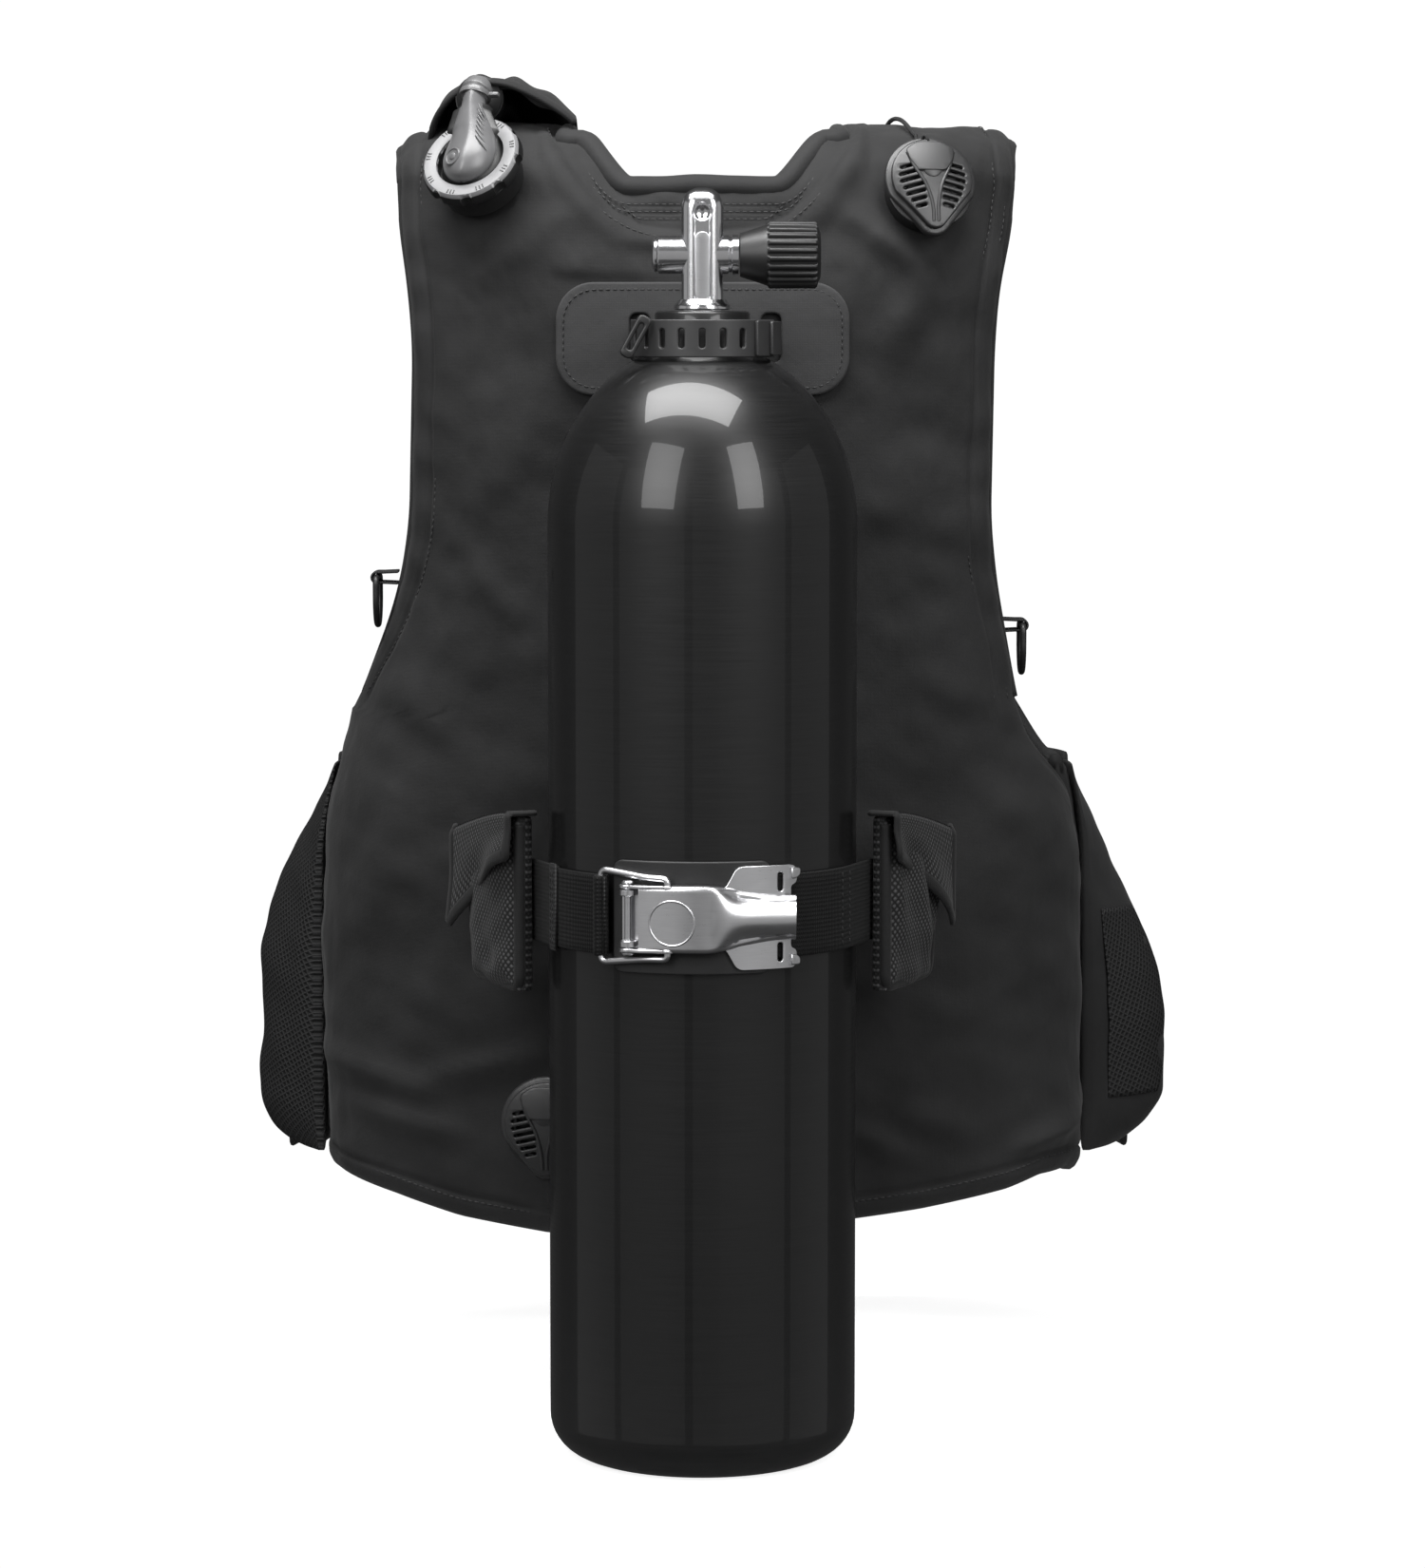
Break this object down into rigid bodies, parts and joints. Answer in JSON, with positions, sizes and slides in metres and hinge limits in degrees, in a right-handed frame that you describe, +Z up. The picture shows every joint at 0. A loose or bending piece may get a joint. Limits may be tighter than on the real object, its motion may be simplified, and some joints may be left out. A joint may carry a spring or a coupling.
{
  "type": "buoyancy compensator vest",
  "caption": "Jacket-style buoyancy compensator vest with cam band, pockets, inflator, dump valves and harness, rigged on a diving cylinder with its valve.",
  "frame": {"origin": "centre of the cylinder's flat base", "axes": "+Z up along the cylinder's axis, +Y the way the wearer faces, +X the wearer's right"},
  "size_m": [0.5856, 0.5197, 0.837],
  "materials": {
    "cylinder_paint": "gloss",
    "valve_chrome": "polished",
    "soft_rubber": "matte",
    "handwheel_rubber": "satin",
    "strap_rubber": "satin",
    "hose_rubber": "satin",
    "black_plastic": "satin",
    "cover_plastic": "satin",
    "ring_plastic": "satin",
    "elbow_plastic": "satin",
    "button_plastic": "satin",
    "band_webbing": "matte",
    "harness_webbing": "matte",
    "buckle_steel": "satin",
    "pocket_fabric": "matte",
    "grey_patch": "matte",
    "vest_fabric": "matte",
    "collar_fabric": "matte",
    "cushion_mesh": "matte",
    "side_mesh": "matte",
    "elastic_fabric": "matte",
    "sleeve_fabric": "matte",
    "cord_braid": "matte"
  },
  "bodies": {
    "root": {"cylinder_shell": "cylinder_paint", "valve_body": "valve_chrome", "burst_disc_plug": "valve_chrome", "valve_bonnet": "valve_chrome", "dip_tube": "valve_chrome", "outlet_o_ring": "soft_rubber", "neck_strap": "strap_rubber", "neck_strap_clip": "black_plastic", "band_right": "band_webbing", "band_left": "band_webbing", "buckle_pad": "soft_rubber", "buckle_base": "buckle_steel", "lever_pin": "buckle_steel", "left_trim_pocket": "pocket_fabric", "right_trim_pocket": "pocket_fabric", "backpack_cradle": "black_plastic", "neck_panel": "grey_patch", "back_panel": "vest_fabric", "left_front_panel": "vest_fabric", "right_front_panel": "vest_fabric", "left_shoulder_strap": "vest_fabric", "right_shoulder_strap": "vest_fabric", "collar_pad": "collar_fabric", "back_cushion": "cushion_mesh", "left_side_pocket": "side_mesh", "right_side_pocket": "side_mesh", "cummerbund": "elastic_fabric", "waist_strap_left": "harness_webbing", "waist_strap_right": "harness_webbing", "waist_buckle_socket": "black_plastic", "chest_strap_left": "harness_webbing", "chest_strap_right": "harness_webbing", "chest_buckle_socket": "black_plastic", "elbow_flange": "black_plastic", "inflator_elbow": "elbow_plastic", "hose_sleeve": "sleeve_fabric", "inflator_hose": "hose_rubber", "inflator_body": "black_plastic", "inflator_mouthpiece": "soft_rubber", "upper_dump_base": "black_plastic", "upper_dump_cover": "cover_plastic", "lower_dump_base": "black_plastic", "lower_dump_cover": "cover_plastic", "dump_cord": "cord_braid"},
    "cam_lever": {"cam_lever": "buckle_steel"},
    "wire_bail": {"wire_bail": "buckle_steel"},
    "band_end": {"band_end": "band_webbing"},
    "handwheel": {"valve_handwheel": "handwheel_rubber"},
    "lock_ring": {"elbow_lock_ring": "ring_plastic"},
    "inflate_button": {"inflate_button": "button_plastic"},
    "deflate_button": {"deflate_button": "button_plastic"},
    "dump_knob": {"dump_knob": "black_plastic"},
    "upper_poppet": {"upper_dump_poppet": "soft_rubber"},
    "lower_poppet": {"lower_dump_poppet": "soft_rubber"},
    "left_d_ring": {"left_d_ring": "buckle_steel"},
    "right_d_ring": {"right_d_ring": "buckle_steel"},
    "waist_plug": {"waist_buckle_plug": "black_plastic"},
    "chest_plug": {"chest_buckle_plug": "black_plastic"},
    "left_trim_flap": {"left_trim_flap": "pocket_fabric"},
    "right_trim_flap": {"right_trim_flap": "pocket_fabric"}
  },
  "joints": [
    {"name": "lever_hinge", "type": "hinge", "parent": "root", "child": "cam_lever", "pos_m": [-0.043, -0.0914, 0.336], "axis": [0, 0, -1], "range_deg": [0, 95]},
    {"name": "bail_hinge", "type": "hinge", "parent": "cam_lever", "child": "wire_bail", "pos_m": [-0.02, -0.0988, 0.336], "axis": [0, 0, 1], "range_deg": [0, 81.7]},
    {"name": "band_end_hinge", "type": "hinge", "parent": "wire_bail", "child": "band_end", "pos_m": [-0.0588, -0.0791, 0.336], "axis": [0, 0, -1], "range_deg": [0, 19]},
    {"name": "handwheel_turn", "type": "hinge", "parent": "root", "child": "handwheel", "pos_m": [0.022, 0, 0.7189], "axis": [1, 0, 0], "range_deg": [0, 900]},
    {"name": "lock_ring_turn", "type": "hinge", "parent": "root", "child": "lock_ring", "pos_m": [-0.139, 0.119, 0.773], "axis": [-0.3094, -0.7386, 0.5989], "range_deg": [0, 60]},
    {"name": "inflate_button_press", "type": "slide", "parent": "root", "child": "inflate_button", "axis": [1, 0, 0], "range_m": [0, 0.003], "stiffness_N_per_m": 500},
    {"name": "deflate_button_press", "type": "slide", "parent": "root", "child": "deflate_button", "axis": [0, -1, 0], "range_m": [0, 0.003], "stiffness_N_per_m": 500},
    {"name": "dump_knob_pull", "type": "slide", "parent": "root", "child": "dump_knob", "axis": [-0.0401, 0.4833, -0.8746], "range_m": [0, 0.012], "stiffness_N_per_m": 200},
    {"name": "upper_poppet_lift", "type": "slide", "parent": "root", "child": "upper_poppet", "axis": [0.2021, -0.9093, 0.3637], "range_m": [0, 0.003]},
    {"name": "lower_poppet_lift", "type": "slide", "parent": "root", "child": "lower_poppet", "axis": [-0.14, -0.9901, 0], "range_m": [0, 0.003], "stiffness_N_per_m": 300},
    {"name": "left_d_ring_swing", "type": "hinge", "parent": "root", "child": "left_d_ring", "pos_m": [-0.205, 0.166, 0.52], "axis": [0, 1, 0], "range_deg": [0, 90]},
    {"name": "right_d_ring_swing", "type": "hinge", "parent": "root", "child": "right_d_ring", "pos_m": [0.201, 0.166, 0.49], "axis": [0, -1, 0], "range_deg": [0, 90]},
    {"name": "waist_plug_release", "type": "slide", "parent": "root", "child": "waist_plug", "axis": [1, 0, 0], "range_m": [0, 0.025]},
    {"name": "chest_plug_release", "type": "slide", "parent": "root", "child": "chest_plug", "axis": [1, 0, 0], "range_m": [0, 0.025]},
    {"name": "left_flap_lift", "type": "hinge", "parent": "root", "child": "left_trim_flap", "pos_m": [-0.08883, -0.03535, 0.3884], "axis": [-0.3698, 0.9291, 0], "range_deg": [0, 100]},
    {"name": "right_flap_lift", "type": "hinge", "parent": "root", "child": "right_trim_flap", "pos_m": [0.08883, -0.03535, 0.3884], "axis": [-0.3698, -0.9291, 0], "range_deg": [0, 100]}
  ],
  "couplings": [
    {"joint": "bail_hinge", "follows": "lever_hinge", "ratio": 0.86},
    {"joint": "band_end_hinge", "follows": "lever_hinge", "ratio": 0.2},
    {"joint": "upper_poppet_lift", "follows": "dump_knob_pull", "ratio": 0.25}
  ]
}
